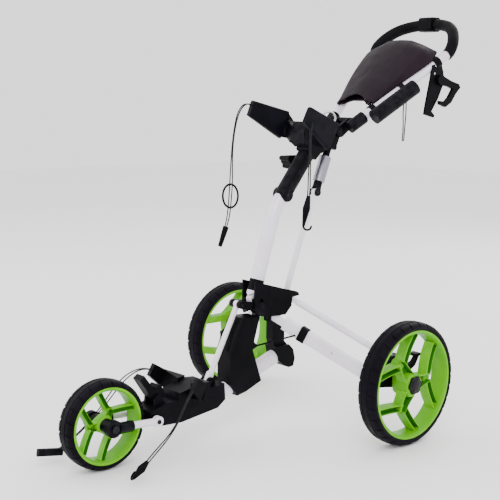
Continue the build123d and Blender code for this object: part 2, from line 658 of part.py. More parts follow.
with BuildPart() as strut_lock_sleeve:
    add(rod(strut_head_point + strut_axis * 28, strut_head_point + strut_axis * 93, 15, 9 + shaft_gap))
save(strut_lock_sleeve.part, "strut_lock_sleeve")

with BuildPart() as carriage_pins:
    add(cross_pin(main_head, -17.8, 17.8, 5))
    add(cross_pin(strut_head, -10.4, 10.4, 4))
    add(cross_pin(handle_pivot, -22, 22, 5))
save(carriage_pins.part, "carriage_pins")

saddle_outline = ((80, 690), (93.5, 680), (99.8, 690.3), (112, 698), (108, 736), (88, 742), (77, 716))
# the left pad is set lower than the right one
pad_rear = {-1: Vector(-84, 112, 731), 1: Vector(84, 112, 708)}
pad_front = {-1: Vector(-99, 12, 772), 1: Vector(99, 12, 760)}
with BuildPart() as upper_bag_bracket:
    add(side_plate(saddle_outline, -24, 24))
    for side in (-1, 1):
        pad_axis = (pad_front[side] - pad_rear[side]).normalized()
        elbow = Plane(origin=(side * 64, 116, pad_rear[side].Z - 11), x_dir=(side * -0.5, 1, 0),
                      z_dir=(side * 1.0, 0.5, 0.2))
        with BuildPart(mode=Mode.PRIVATE) as arm:
            with BuildSketch(Plane(origin=(side * 22, 90, 709), x_dir=(0, 1, 0),
                                   z_dir=(side * 1.0, 0, 0.25))):
                Rectangle(22, 40)
            with BuildSketch(elbow):
                Rectangle(15, 44)
            loft()
            with BuildSketch(elbow):
                Rectangle(15, 44)
            with BuildSketch(Plane(origin=pad_rear[side] + Vector(0, 0.4, 0), x_dir=(1, 0, 0),
                                   z_dir=pad_axis)):
                Rectangle(12, 62)
            loft()
            with BuildSketch(Plane(origin=pad_rear[side] + pad_axis * 0.4, x_dir=(1, 0, 0), z_dir=pad_axis)):
                Rectangle(38, 110)
            extrude(amount=25, mode=Mode.SUBTRACT)
        add(arm.part)
    add(rod(sleeve_start, sleeve_end + head_axis * 40, sleeve_radius + shaft_gap), mode=Mode.SUBTRACT)
save(upper_bag_bracket.part, "upper_bag_bracket")

with BuildPart() as upper_bag_pads:
    for side in (-1, 1):
        axis = (pad_front[side] - pad_rear[side]).normalized()
        rear = pad_rear[side] + axis * 0.7
        front = pad_front[side]
        with BuildPart(mode=Mode.PRIVATE) as pad:
            with BuildSketch(Plane(origin=rear, x_dir=(1, 0, 0), z_dir=axis)):
                RectangleRounded(17, 72, 5)
            with BuildSketch(Plane(origin=front, x_dir=(1, 0, 0), z_dir=axis)):
                RectangleRounded(14, 40, 5)
            loft()
        add(pad.part)
save(upper_bag_pads.part, "upper_bag_pads")

hoop_centre = Vector(14, 172, 750)
with BuildPart() as bag_strap_hoop:
    with BuildSketch(Plane(origin=hoop_centre + Vector(11.5, 11.5, 0), z_dir=(0, 0, 1))):
        Circle(2.6)
    revolve(axis=Axis(hoop_centre, (1, -1, 0)))
    add(rod((14, 172, 721), (14, 172, 736), 4.5))
save(bag_strap_hoop.part, "bag_strap_hoop")

# ---- handle -------------------------------------------------------------------------------
with BuildPart() as handle_yoke:
    for side in (-1, 1):
        x_low, x_high = sorted((side * 13.6, side * 22))
        add(cross_pin(handle_pivot, x_low, x_high, 15))
        add(side_plate(((203, 730), (215, 704), (248, 727), (237, 751)), x_low, x_high))
        add(rod(leg_point(0.035, side), leg_point(0.14, side), 15.8))
    add(rod((-45, 243, 742), (45, 243, 742), 10))
    for side in (-1, 1):
        add(rod(leg_point(0.05, side), leg_point(0.2, side), leg_radius + shaft_gap), mode=Mode.SUBTRACT)
    add(cross_pin(handle_pivot, -30, 30, 5 + shaft_gap), mode=Mode.SUBTRACT)
save(handle_yoke.part, "handle_yoke")

leg_share_start = 0.051
leg_share_end = 0.77
with BuildPart() as handle_legs:
    for side in (-1, 1):
        add(rod(leg_point(leg_share_start, side), leg_point(leg_share_end, side),
                leg_radius, leg_radius - 1.6))
save(handle_legs.part, "handle_legs")

grip_half = [
    leg_point(leg_share_end + 0.001), leg_point(0.79), Vector(130, 507, 946), Vector(98, 543, 984),
    Vector(42, 568, 1000),
]
grip_points = grip_half + [Vector(-place.X, place.Y, place.Z) for place in reversed(grip_half)]
grip_radius = 15.0
with BuildPart() as handle_grip:
    with BuildLine():
        loop = FilletPolyline(*grip_points, radius=[18, 30, 40, 70, 70, 40, 30, 18])
    with BuildSketch(Plane(origin=loop @ 0, z_dir=loop % 0)):
        Circle(grip_radius)
    sweep(path=loop)
save(handle_grip.part, "handle_grip")

with BuildPart() as grip_coupler:
    with BuildSketch(Plane.YZ.offset(-22)):
        with Locations((568, 1000)):
            RectangleRounded(40, 38, 8)
            Circle(grip_radius + shaft_gap, mode=Mode.SUBTRACT)
    extrude(amount=44)
save(grip_coupler.part, "grip_coupler")

# console: a tray between the legs and a faceted lid hinged at its front edge
handle_plane = Plane(origin=(0, *handle_pivot), x_dir=(1, 0, 0), z_dir=(0, -handle_pitch.Z, handle_pitch.Y))


def console_station(along):
    """Plane across the console, its local y standing off the legs."""
    origin = handle_plane.from_local_coords(Vector(0, along, 0))
    return Plane(origin=origin, x_dir=(-1, 0, 0), z_dir=handle_pitch)


tray_front = 98.0
tray_rear = 300.0
box_front = 150.0
leg_axis = leg_run.normalized()
rim_height = leg_radius + shaft_gap
lid_hinge = (95.0, 17.5)
clip_shares = (0.205, 0.42)
cup_clamp_share = 0.685
clip_radius = 15.4


def hinge_point(x):
    """Point on the lid's hinge line."""
    return handle_plane.from_local_coords(Vector(x, *lid_hinge))


with BuildPart() as console_tray:
    with BuildSketch(handle_plane.offset(rim_height)):
        with BuildLine():
            Polyline((-60, tray_front), (60, tray_front), (114, tray_rear), (-114, tray_rear), close=True)
        make_face()
    extrude(amount=3)
    with BuildSketch(handle_plane.offset(-14)):
        with BuildLine():
            Polyline((-56, box_front), (56, box_front), (94, tray_rear - 4), (-94, tray_rear - 4), close=True)
        make_face()
    extrude(amount=14 + rim_height + 2)
    with BuildSketch(handle_plane.offset(-11)):
        with BuildLine():
            Polyline((-52, box_front + 4), (52, box_front + 4), (89, tray_rear - 8), (-89, tray_rear - 8),
                     close=True)
        make_face()
    extrude(amount=40, mode=Mode.SUBTRACT)
    with BuildSketch(handle_plane.offset(rim_height)):
        with Locations((0, 70)):
            Circle(46)
    extrude(amount=3, mode=Mode.SUBTRACT)
    for side in (-1, 1):
        add(rod(hinge_point(side * 40.5), hinge_point(side * 48.5), 5), mode=Mode.SUBTRACT)
        add(rod(hinge_point(side * 49), hinge_point(side * 55), 4.5))
        add(rod(hinge_point(side * 45), hinge_point(side * 60), 2 + shaft_gap), mode=Mode.SUBTRACT)
    # room for the clips that go round the left leg
    for share in (*clip_shares, cup_clamp_share):
        centre = leg_point(share)
        add(rod(centre - leg_axis * 10, centre + leg_axis * 10, clip_radius + 0.4), mode=Mode.SUBTRACT)
save(console_tray.part, "console_tray")

lid_base = rim_height + 3.3
# distance along the legs, half width, shoulder (across, height), crest (across, height), ridge height
lid_sections = (
    (100.0, 61.0, (56.0, 20.0), (22.0, 27.5), 30.0),
    (200.0, 92.0, (84.0, 30.0), (34.0, 40.5), 43.0),
    (280.0, 119.0, (94.0, 39.0), (42.0, 52.5), 55.0),
    (306.0, 116.0, (92.0, 40.0), (42.0, 55.0), 57.5),
    (330.0, 108.0, (85.0, 32.0), (40.0, 53.0), 56.0),
)


def lid_profile(half_width, shoulder, crest, ridge):
    """Cross-section of the lid: side walls, shoulders and two leaning facets that meet at a ridge."""
    right = [(half_width, lid_base), shoulder, crest]
    return right + [(0, ridge)] + [(-across, height) for across, height in reversed(right)]


def lid_shell(inset):
    """Lid body between its three stations, drawn in by the inset."""
    with BuildPart() as body:
        for first, second in zip(lid_sections, lid_sections[1:]):
            for along, half_width, shoulder, crest, ridge in (first, second):
                shift = 0
                if along == lid_sections[0][0]:
                    shift = inset
                if along == lid_sections[-1][0]:
                    shift = -inset
                with BuildSketch(console_station(along + shift)):
                    with BuildLine():
                        Polyline(*[(x * (1 - inset / half_width), y - inset) for x, y in
                                   lid_profile(half_width, shoulder, crest, ridge)], close=True)
                    make_face()
            loft()
    return body.part


with BuildPart() as console_lid:
    add(lid_shell(0))
    add(lid_shell(3), mode=Mode.SUBTRACT)
    with BuildSketch(handle_plane.offset(rim_height)):
        with Locations((0, 70)):
            Circle(46)
    extrude(amount=60, mode=Mode.SUBTRACT)
    for side in (-1, 1):
        add(rod(hinge_point(side * 41.5), hinge_point(side * 47.8), 4.2))
        add(rod(hinge_point(side * 44), hinge_point(side * 54.5), 2))
        neck_end = handle_plane.from_local_coords(Vector(side * 44.5, 104, lid_hinge[1] + 3.5))
        add(rod(hinge_point(side * 44.5), neck_end, 1.8))
save(console_lid.part, "console_lid")

# umbrella tube clipped to the outer side of the left leg
holder_shift = Vector(31.5, -6.6, -5.2)
holder_low = leg_point(0.16) + holder_shift
holder_high = leg_point(0.465) + holder_shift
with BuildPart() as umbrella_tube:
    add(rod(holder_low, holder_high, 19))
    for share in clip_shares:
        centre = leg_point(share)
        add(rod(centre - leg_axis * 7, centre + leg_axis * 7, clip_radius))
        add(rod(centre + holder_shift * 0.35, centre + holder_shift * 0.52, 6.5))
    add(rod(holder_low + leg_axis * 4, holder_high + leg_axis * 1, 15), mode=Mode.SUBTRACT)
    add(rod(leg_point(0.12), leg_point(0.6), leg_radius + shaft_gap), mode=Mode.SUBTRACT)
save(umbrella_tube.part, "umbrella_tube")

# cup holder: clamp and back plate, with a hooked jaw that swings out
jaw_pivot = (462.0, 850.0)
with BuildPart() as cup_holder_plate:
    add(side_plate(((434, 886), (466, 896), (478, 872), (483, 845), (461, 803), (436, 770), (449, 760),
                    (446, 754), (407, 762), (410, 778), (427, 850)), 119, 124))
    clamp_centre = leg_point(cup_clamp_share)
    add(rod(clamp_centre - leg_axis * 9, clamp_centre + leg_axis * 9, clip_radius))
    add(slab((116.5, 120), (444, 464), (872, 890)))
    add(rod(leg_point(0.6), leg_point(0.76), leg_radius + shaft_gap), mode=Mode.SUBTRACT)
    add(cross_pin(jaw_pivot, 100, 130, 4 + shaft_gap), mode=Mode.SUBTRACT)
    add(cross_pin((446, 866), 100, 130, 4.5), mode=Mode.SUBTRACT)
save(cup_holder_plate.part, "cup_holder_plate")

with BuildPart() as cup_holder_jaw:
    add(side_plate(((462, 862), (503, 848), (535, 841), (541, 832), (522, 815), (505, 793), (482, 781),
                    (458, 788), (456, 797), (480, 795), (494, 806), (510, 828), (490, 834), (468, 836),
                    (455, 842)), 124.5, 133))
    add(cross_pin(jaw_pivot, 124.5, 133, 13))
    add(cross_pin(jaw_pivot, 118, 124.5, 4))
save(cup_holder_jaw.part, "cup_holder_jaw")


# ---- elastic cords: each is one cord folded in half, with a pull or a hook at the fold --------
strand_half_gap = 3.5
fold_radius = 3.0


def doubled(centre_line):
    """Out strand and back strand of a folded cord, side by side in X."""
    out = [(x - strand_half_gap, y, z) for x, y, z in centre_line]
    back = [(x + strand_half_gap, y, z) for x, y, z in reversed(centre_line)]
    return out + back


def taper(start, end, start_radius, end_radius):
    """Tapered round body."""
    axis = end - start
    with BuildPart() as body:
        with BuildSketch(Plane(origin=start, z_dir=axis)):
            Circle(start_radius)
        with BuildSketch(Plane(origin=end, z_dir=axis)):
            Circle(end_radius)
        loft()
    return body.part


def hook(start, end, curl):
    """Moulded hook: a leaf-shaped grip that ends in an open curl."""
    reach = (end - start).normalized()
    middle = start + (end - start) * 0.42
    with BuildPart() as piece:
        add(taper(start, middle, 4.5, 9.0))
        add(taper(middle, end, 9.0, 3.2))
        with BuildLine():
            bow = ThreePointArc(end - reach, end + reach * 9 + curl * 9, end - reach + curl * 18)
        with BuildSketch(Plane(origin=bow @ 0, z_dir=bow % 0)):
            Circle(2.4)
        sweep(path=bow)
    return piece.part


upper_right_line = [
    (-100, 15.4, 780), (-100, 2, 783.5), (-100, -14, 776), (-100, -28, 756), (-100, -37, 722),
    (-100, -43, 682),
    (-100, -45, 640), (-100, -45.5, 597), (-100, -48, 554), (-100, -52.5, 512), (-100, -61, 483),
    (-100, -70, 461.2), (-100, -74.9, 448.5),
]
cord_tube("upper_right_bungee", doubled(upper_right_line), fold_radius)
ring_centre = Vector(-100, -47.6, 559)
ring_normal = Vector(0.75, -0.66, 0)
with BuildPart() as upper_right_pull:
    add(taper(Vector(-100, -60.5, 484), Vector(-100, -79.5, 437), 7.5, 5))
    with BuildSketch(Plane(origin=ring_centre, z_dir=ring_normal)):
        Ellipse(31, 21, rotation=90)
        Ellipse(26, 16, rotation=90, mode=Mode.SUBTRACT)
    extrude(amount=3, both=True)
    for x in (-100 - strand_half_gap, -100 + strand_half_gap):
        add(rod((x, -45.5, 597), (x, -48, 554), 1.9), mode=Mode.SUBTRACT)
        add(rod((x, -48, 554), (x, -52.5, 512), 1.9), mode=Mode.SUBTRACT)
save(upper_right_pull.part, "upper_right_pull")

upper_left_line = [
    (100, 24, 743.5), (100, 23, 705), (100, 24, 665), (100, 22.5, 622), (100, 23, 588), (100, 20.5, 566),
    (100, 17.5, 552.5),
]
cord_tube("upper_left_bungee", doubled(upper_left_line), fold_radius)
save(hook(Vector(100, 22, 572), Vector(100, 7, 502), Vector(0.66, 0.75, 0)), "upper_left_hook")

lower_right_line = [
    (-81, -300.2, 170), (-81.5, -317, 175.5), (-84, -340, 174), (-88, -366, 162), (-93, -391, 138),
    (-97, -417, 106), (-100, -449, 76), (-102, -484, 49), (-104, -518, 29), (-106, -542, 19),
    (-106, -555, 20),
]
cord_tube("lower_right_bungee", doubled(lower_right_line), fold_radius)
tab_axis = Vector(-4, -60, 10).normalized()
with BuildPart() as lower_right_pull:
    # flat webbing tab
    with BuildSketch(Plane(origin=(-104.5, -524, 16), x_dir=(1, 0, 0), z_dir=tab_axis)):
        RectangleRounded(11, 17, 4)
    extrude(amount=60)
save(lower_right_pull.part, "lower_right_pull")

lower_left_line = [
    (81, -300.5, 162.5), (83, -317, 145), (88, -337, 120), (94, -356, 98), (103, -385, 77), (112, -418, 61),
    (118, -444, 47), (122.5, -463, 36.5), (122.5, -474, 29.5),
]
cord_tube("lower_left_bungee", doubled(lower_left_line), fold_radius)
save(hook(Vector(120, -455, 41), Vector(128, -496, 17), Vector(0.4, -0.1, 0.9).normalized()),
     "lower_left_hook")

lanyard_line = [
    (112, 344, 792.2), (112, 343, 768), (112, 343.6, 740), (112, 342.4, 712), (112, 341, 696),
]
cord_tube("lanyard", doubled(lanyard_line), fold_radius)
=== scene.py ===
"""Golf push trolley: the looks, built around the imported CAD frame. Metres, +Z up, -Y to the front."""
import json
import math

import bmesh
import bpy
from mathutils import Matrix, Vector


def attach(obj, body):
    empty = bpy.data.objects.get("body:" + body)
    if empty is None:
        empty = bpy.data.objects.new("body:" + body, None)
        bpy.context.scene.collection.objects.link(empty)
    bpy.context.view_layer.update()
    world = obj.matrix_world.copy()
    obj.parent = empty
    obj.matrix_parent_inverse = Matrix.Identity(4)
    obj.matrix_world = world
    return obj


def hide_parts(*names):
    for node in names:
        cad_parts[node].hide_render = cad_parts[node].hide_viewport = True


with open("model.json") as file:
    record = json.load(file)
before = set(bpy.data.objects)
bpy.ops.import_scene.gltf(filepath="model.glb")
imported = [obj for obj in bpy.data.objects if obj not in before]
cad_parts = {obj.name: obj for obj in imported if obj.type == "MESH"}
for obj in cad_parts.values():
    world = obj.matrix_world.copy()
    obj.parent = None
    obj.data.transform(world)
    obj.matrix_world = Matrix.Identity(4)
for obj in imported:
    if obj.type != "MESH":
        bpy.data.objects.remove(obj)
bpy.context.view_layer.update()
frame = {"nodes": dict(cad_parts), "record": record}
nodes = frame["nodes"]
MM = 0.001


# ---- camera -------------------------------------------------------------------------------
CAMERA_PLACE = (1.7449, -1.6283, 0.7936)
CAMERA_AZIMUTH, CAMERA_ELEVATION, CAMERA_ROLL = 48.23, 8.60, 0.92
CAMERA_LENS, CAMERA_SENSOR = 71.83, 36.0


def place_camera():
    """Low three-quarter view from the front, on the left side of the trolley."""
    azimuth, elevation, roll = (math.radians(a) for a in (CAMERA_AZIMUTH, CAMERA_ELEVATION, CAMERA_ROLL))
    ahead = Vector((-math.sin(azimuth) * math.cos(elevation), math.cos(azimuth) * math.cos(elevation),
                    -math.sin(elevation)))
    level = Vector((math.cos(azimuth), math.sin(azimuth), 0.0))
    upright = level.cross(ahead)
    right = math.cos(roll) * level + math.sin(roll) * upright
    up = -math.sin(roll) * level + math.cos(roll) * upright
    data = bpy.data.cameras.new("camera")
    data.lens = CAMERA_LENS
    data.sensor_width = CAMERA_SENSOR
    camera = bpy.data.objects.new("camera", data)
    bpy.context.scene.collection.objects.link(camera)
    turn = Matrix((right, up, -ahead)).transposed().to_4x4()
    camera.matrix_world = Matrix.Translation(CAMERA_PLACE) @ turn
    bpy.context.scene.camera = camera


place_camera()


# ---- materials ----------------------------------------------------------------------------
class Shader:
    """Small helper that adds and links nodes of one material."""

    def __init__(self, name):
        self.material = bpy.data.materials.new(name)
        self.material.use_nodes = True
        self.tree = self.material.node_tree
        self.shader = self.tree.nodes["Principled BSDF"]
        self.place = self.add("ShaderNodeTexCoord").outputs["Object"]

    def add(self, kind, **values):
        node = self.tree.nodes.new(kind)
        for key, value in values.items():
            setattr(node, key, value)
        return node

    def join(self, output, node_input):
        self.tree.links.new(output, node_input)

    def noise(self, scale, detail=3.0, rough=0.55):
        node = self.add("ShaderNodeTexNoise")
        node.inputs["Scale"].default_value = scale
        node.inputs["Detail"].default_value = detail
        node.inputs["Roughness"].default_value = rough
        self.join(self.place, node.inputs["Vector"])
        return node.outputs["Fac"]

    def ramp(self, value, stops):
        node = self.add("ShaderNodeValToRGB")
        elements = node.color_ramp.elements
        while len(elements) < len(stops):
            elements.new(0.5)
        for element, (position, colour) in zip(elements, stops):
            element.position = position
            element.color = (*colour, 1.0)
        self.join(value, node.inputs["Fac"])
        return node.outputs["Color"]

    def span(self, value, low, high, out_low, out_high):
        node = self.add("ShaderNodeMapRange")
        for key, number in (("From Min", low), ("From Max", high), ("To Min", out_low), ("To Max", out_high)):
            node.inputs[key].default_value = number
        self.join(value, node.inputs["Value"])
        return node.outputs["Result"]

    def mix(self, factor, first, second):
        node = self.add("ShaderNodeMix", data_type="RGBA")
        self.join(factor, node.inputs["Factor"])
        for value, slot in ((first, node.inputs[6]), (second, node.inputs[7])):
            if isinstance(value, tuple):
                slot.default_value = (*value, 1.0)
            else:
                self.join(value, slot)
        return node.outputs[2]

    def bump(self, height, strength, distance, under=None):
        node = self.add("ShaderNodeBump")
        node.inputs["Strength"].default_value = strength
        node.inputs["Distance"].default_value = distance
        self.join(height, node.inputs["Height"])
        if under is not None:
            self.join(under, node.inputs["Normal"])
        return node.outputs["Normal"]

    def worn_edges(self, colour, worn, amount):
        """Colour that turns to a worn shade where edges stand out."""
        point = self.add("ShaderNodeNewGeometry").outputs["Pointiness"]
        edge = self.span(point, 0.53, 0.62, 0.0, amount)
        patchy = self.add("ShaderNodeMath", operation="MULTIPLY")
        self.join(edge, patchy.inputs[0])
        self.join(self.span(self.noise(60.0), 0.4, 0.6, 0.2, 1.0), patchy.inputs[1])
        return self.mix(patchy.outputs[0], colour, worn)

    def finish(self, colour, roughness, normal):
        self.join(colour, self.shader.inputs["Base Color"])
        self.join(roughness, self.shader.inputs["Roughness"])
        self.join(normal, self.shader.inputs["Normal"])
        return self.material


def moulding(name, dark, light, rough_low, rough_high, grain=900.0, relief=0.25, worn=None, specular=0.5):
    """Moulded plastic: slow colour drift, fine grain, scuffed edges."""
    s = Shader(name)
    colour = s.ramp(s.noise(14.0), ((0.35, dark), (0.65, light)))
    if worn is not None:
        colour = s.worn_edges(colour, worn, 0.5)
    rough = s.span(s.noise(35.0, 5.0), 0.3, 0.7, rough_low, rough_high)
    normal = s.bump(s.noise(grain, 2.0), relief, 0.0004)
    s.shader.inputs["Specular IOR Level"].default_value = specular
    return s.finish(colour, rough, normal)


def paint(name, dark, light):
    """Powder coated tube: faint orange peel and a little dirt."""
    s = Shader(name)
    colour = s.ramp(s.noise(9.0), ((0.3, dark), (0.6, light)))
    colour = s.worn_edges(colour, (0.62, 0.60, 0.62), 0.25)
    rough = s.span(s.noise(50.0, 4.0), 0.3, 0.7, 0.22, 0.36)
    normal = s.bump(s.noise(420.0, 2.0), 0.12, 0.0003)
    s.shader.inputs["Coat Weight"].default_value = 0.25
    s.shader.inputs["Coat Roughness"].default_value = 0.12
    return s.finish(colour, rough, normal)


def foam(name, dark, light, cells, relief, rough_low=0.7, rough_high=0.9):
    """Closed cell foam or tyre compound: small cells and dusty patches."""
    s = Shader(name)
    colour = s.ramp(s.noise(22.0, 6.0), ((0.35, dark), (0.7, light)))
    voronoi = s.add("ShaderNodeTexVoronoi")
    voronoi.inputs["Scale"].default_value = cells
    s.join(s.place, voronoi.inputs["Vector"])
    rough = s.span(s.noise(40.0, 4.0), 0.3, 0.7, rough_low, rough_high)
    normal = s.bump(voronoi.outputs["Distance"], relief, 0.0005)
    s.shader.inputs["Specular IOR Level"].default_value = 0.055
    return s.finish(colour, rough, normal)


def metal(name, dark, light, rough_low, rough_high):
    """Turned or brushed metal."""
    s = Shader(name)
    stretch = s.add("ShaderNodeMapping")
    stretch.inputs["Scale"].default_value = (40.0, 900.0, 900.0)
    s.join(s.place, stretch.inputs["Vector"])
    lines = s.add("ShaderNodeTexNoise")
    lines.inputs["Scale"].default_value = 1.0
    s.join(stretch.outputs["Vector"], lines.inputs["Vector"])
    colour = s.ramp(lines.outputs["Fac"], ((0.35, dark), (0.65, light)))
    rough = s.span(s.noise(60.0), 0.3, 0.7, rough_low, rough_high)
    normal = s.bump(lines.outputs["Fac"], 0.15, 0.0002)
    s.shader.inputs["Metallic"].default_value = 1.0
    return s.finish(colour, rough, normal)


def braid(name, dark, light):
    """Woven sheath of an elastic cord: two crossed sets of fine strands."""
    s = Shader(name)
    weave = []
    for slope in (1.0, -1.0):
        turn = s.add("ShaderNodeMapping")
        turn.inputs["Rotation"].default_value = (0.6 * slope, 0.6 * slope, 0.75 * slope)
        s.join(s.place, turn.inputs["Vector"])
        wave = s.add("ShaderNodeTexWave", bands_direction="Z")
        wave.inputs["Scale"].default_value = 380.0
        wave.inputs["Distortion"].default_value = 1.2
        s.join(turn.outputs["Vector"], wave.inputs["Vector"])
        weave.append(wave.outputs["Fac"])
    crossed = s.add("ShaderNodeMath", operation="MAXIMUM")
    s.join(weave[0], crossed.inputs[0])
    s.join(weave[1], crossed.inputs[1])
    colour = s.ramp(crossed.outputs[0], ((0.3, dark), (0.9, light)))
    rough = s.span(s.noise(80.0), 0.3, 0.7, 0.6, 0.85)
    normal = s.bump(crossed.outputs[0], 0.6, 0.0004)
    s.shader.inputs["Specular IOR Level"].default_value = 0.2
    return s.finish(colour, rough, normal)


white = paint("white_powder_coat", (0.70, 0.63, 0.73), (0.80, 0.74, 0.83))
black = moulding("black_moulding", (0.0012, 0.0011, 0.0018), (0.003, 0.0025, 0.0042), 0.36, 0.52,
                 worn=(0.014, 0.014, 0.018), specular=0.05)
pad_black = foam("pad_rubber", (0.0018, 0.0018, 0.0032), (0.0045, 0.004, 0.008), 1500.0, 0.3, 0.42, 0.6)
console = moulding("console_moulding", (0.0075, 0.0032, 0.0065), (0.011, 0.0055, 0.0095), 0.42, 0.56,
                   grain=1400.0, relief=0.4, worn=(0.03, 0.02, 0.03), specular=0.09)
grip_foam = foam("grip_foam", (0.0015, 0.0015, 0.002), (0.004, 0.0035, 0.005), 900.0, 0.5, 0.5, 0.7)
tyre_foam = foam("tyre_compound", (0.0018, 0.0012, 0.003), (0.0045, 0.0032, 0.0065), 1100.0, 0.35, 0.4, 0.62)
green = moulding("green_moulding", (0.085, 0.33, 0.0002), (0.11, 0.39, 0.0004), 0.34, 0.46, grain=700.0,
                 relief=0.12, worn=(0.20, 0.56, 0.01), specular=0.15)
# darker green for the rims' channel floors: painted shade in the recesses, not a colour of the moulding
green_painted_shade = moulding("green_moulding_painted_shade", (0.012, 0.13, 0.0008), (0.02, 0.17, 0.001), 0.4, 0.55,
                        grain=700.0, relief=0.12, specular=0.1)
cap_black = moulding("cap_moulding", (0.003, 0.003, 0.004), (0.006, 0.006, 0.007), 0.25, 0.4, specular=0.12)
dark_steel = metal("blackened_steel", (0.012, 0.012, 0.014), (0.03, 0.03, 0.033), 0.35, 0.5)
steel = metal("zinc_steel", (0.45, 0.45, 0.47), (0.66, 0.66, 0.68), 0.25, 0.42)
grey = metal("grey_anodised", (0.26, 0.24, 0.29), (0.36, 0.33, 0.40), 0.38, 0.5)
cord_black = braid("cord_sheath", (0.003, 0.003, 0.004), (0.010, 0.010, 0.012))

SLOT_LOOKS = {
    "white_paint": white, "black_plastic": black, "black_pads": pad_black, "console_plastic": console,
    "grip_foam": grip_foam, "tyre_foam": tyre_foam, "rim_green": green, "cap_black": cap_black,
    "steel": steel, "grey_sleeve": grey, "cord": cord_black,
}
DARK_FIXINGS = ("chassis_pins", "carriage_pins", "front_axle")
SLOT_OF = {part["node"]: part["material_slot"] for part in frame["record"]["subparts"]}

for name, node in nodes.items():
    if not node.material_slots:
        node.data.materials.append(None)
    for material_slot in node.material_slots:
        material_slot.material = dark_steel if name in DARK_FIXINGS else SLOT_LOOKS[SLOT_OF[name]]


MOULDED_NODES = (
    "front_base", "lower_bag_bracket", "collar_bracket", "end_bracket", "hub_housing", "fork_latch",
    "left_carrier", "right_carrier", "brake_pedal", "handle_hinge_block", "upper_bag_bracket",
    "cup_holder_plate", "cup_holder_jaw", "arm_band", "grip_coupler", "console_tray",
)
EDGE_ROUND = 1.2


def soften(name):
    """Rounds a moulded node's edges a little."""
    weld = nodes[name].modifiers.new("weld", "WELD")
    weld.merge_threshold = 0.00001
    bevel = nodes[name].modifiers.new("edges", "BEVEL")
    bevel.width = EDGE_ROUND * MM
    bevel.segments = 2
    bevel.limit_method = "ANGLE"
    bevel.angle_limit = math.radians(40)
    bevel.harden_normals = True


for name in MOULDED_NODES:
    soften(name)


# ---- mesh helpers ---------------------------------------------------------------------------
def new_piece(name, body, look, mesh, smooth_angle=40.0):
    """Object from a bmesh, riding on a body."""
    bmesh.ops.recalc_face_normals(mesh, faces=mesh.faces)
    data = bpy.data.meshes.new(name)
    mesh.to_mesh(data)
    mesh.free()
    for face in data.polygons:
        face.use_smooth = True
    data.set_sharp_from_angle(angle=math.radians(smooth_angle))
    data.materials.append(look)
    piece = bpy.data.objects.new(name, data)
    bpy.context.scene.collection.objects.link(piece)
    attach(piece, body)
    return piece


def add_loops(mesh, loops, close_around=True, cap_ends=False):
    """Skin over a list of point loops; the loops join up end to end if asked."""
    rings = [[mesh.verts.new(point) for point in loop] for loop in loops]
    count = len(rings[0])
    pairs = list(zip(rings, rings[1:]))
    if close_around:
        pairs.append((rings[-1], rings[0]))
    for first, second in pairs:
        for i in range(count):
            j = (i + 1) % count
            mesh.faces.new((first[i], first[j], second[j], second[i]))
    if cap_ends:
        mesh.faces.new(rings[0][::-1])
        mesh.faces.new(rings[-1])


def wheel_point(centre, x, radius, angle):
    """Point at an axial offset, radius and angle about a wheel's centre; angle 0 is to the rear."""
    y = centre[1] + radius * math.cos(angle)
    z = centre[2] + radius * math.sin(angle)
    return Vector((centre[0] + x, y, z)) * MM


def make_tyre(name, body, centre, radius, width, rim_radius, blocks):
    """Tyre with a rounded crown, shoulder blocks and two shallow rings of grooves."""
    half = width / 2
    flank = [(0.93, rim_radius + 0.15), (0.985, rim_radius + 2.5), (1.0, rim_radius + 6.0),
             (1.0, radius - 11.5), (0.97, radius - 8.6), (0.90, radius - 5.6), (0.80, radius - 3.2),
             (0.66, radius - 1.5)]
    crown = [(0.40, radius - 0.5), (0.36, radius - 1.5), (0.28, radius - 1.5), (0.24, radius - 0.25),
             (0.0, radius)]
    left = [(-share * half, r) for share, r in flank + crown]
    section = left + [(-x, r) for x, r in reversed(left[:-1])]
    mesh = bmesh.new()
    loops = []
    for block in range(blocks):
        for share, sunk in ((0.0, 0), (0.3, 0), (0.6, 0), (0.83, 0), (0.86, 1), (0.97, 1)):
            loop = []
            for x, r in section:
                lean = 0.22 * abs(x) / half
                angle = 2 * math.pi * (block + share + lean) / blocks
                on_shoulder = radius - 9.5 < r < radius - 1.0 and abs(x) > 0.5 * half
                loop.append(wheel_point(centre, x, r - 2.6 * sunk * on_shoulder, angle))
            loops.append(loop)
    add_loops(mesh, loops)
    return new_piece(name, body, tyre_foam, mesh, 32.0)


SHADED_CHANNEL_FLOOR = (3, 4, 5, 6)      # faces of a rib's section that lie in its sunken channel; they take the darker green of painted shade
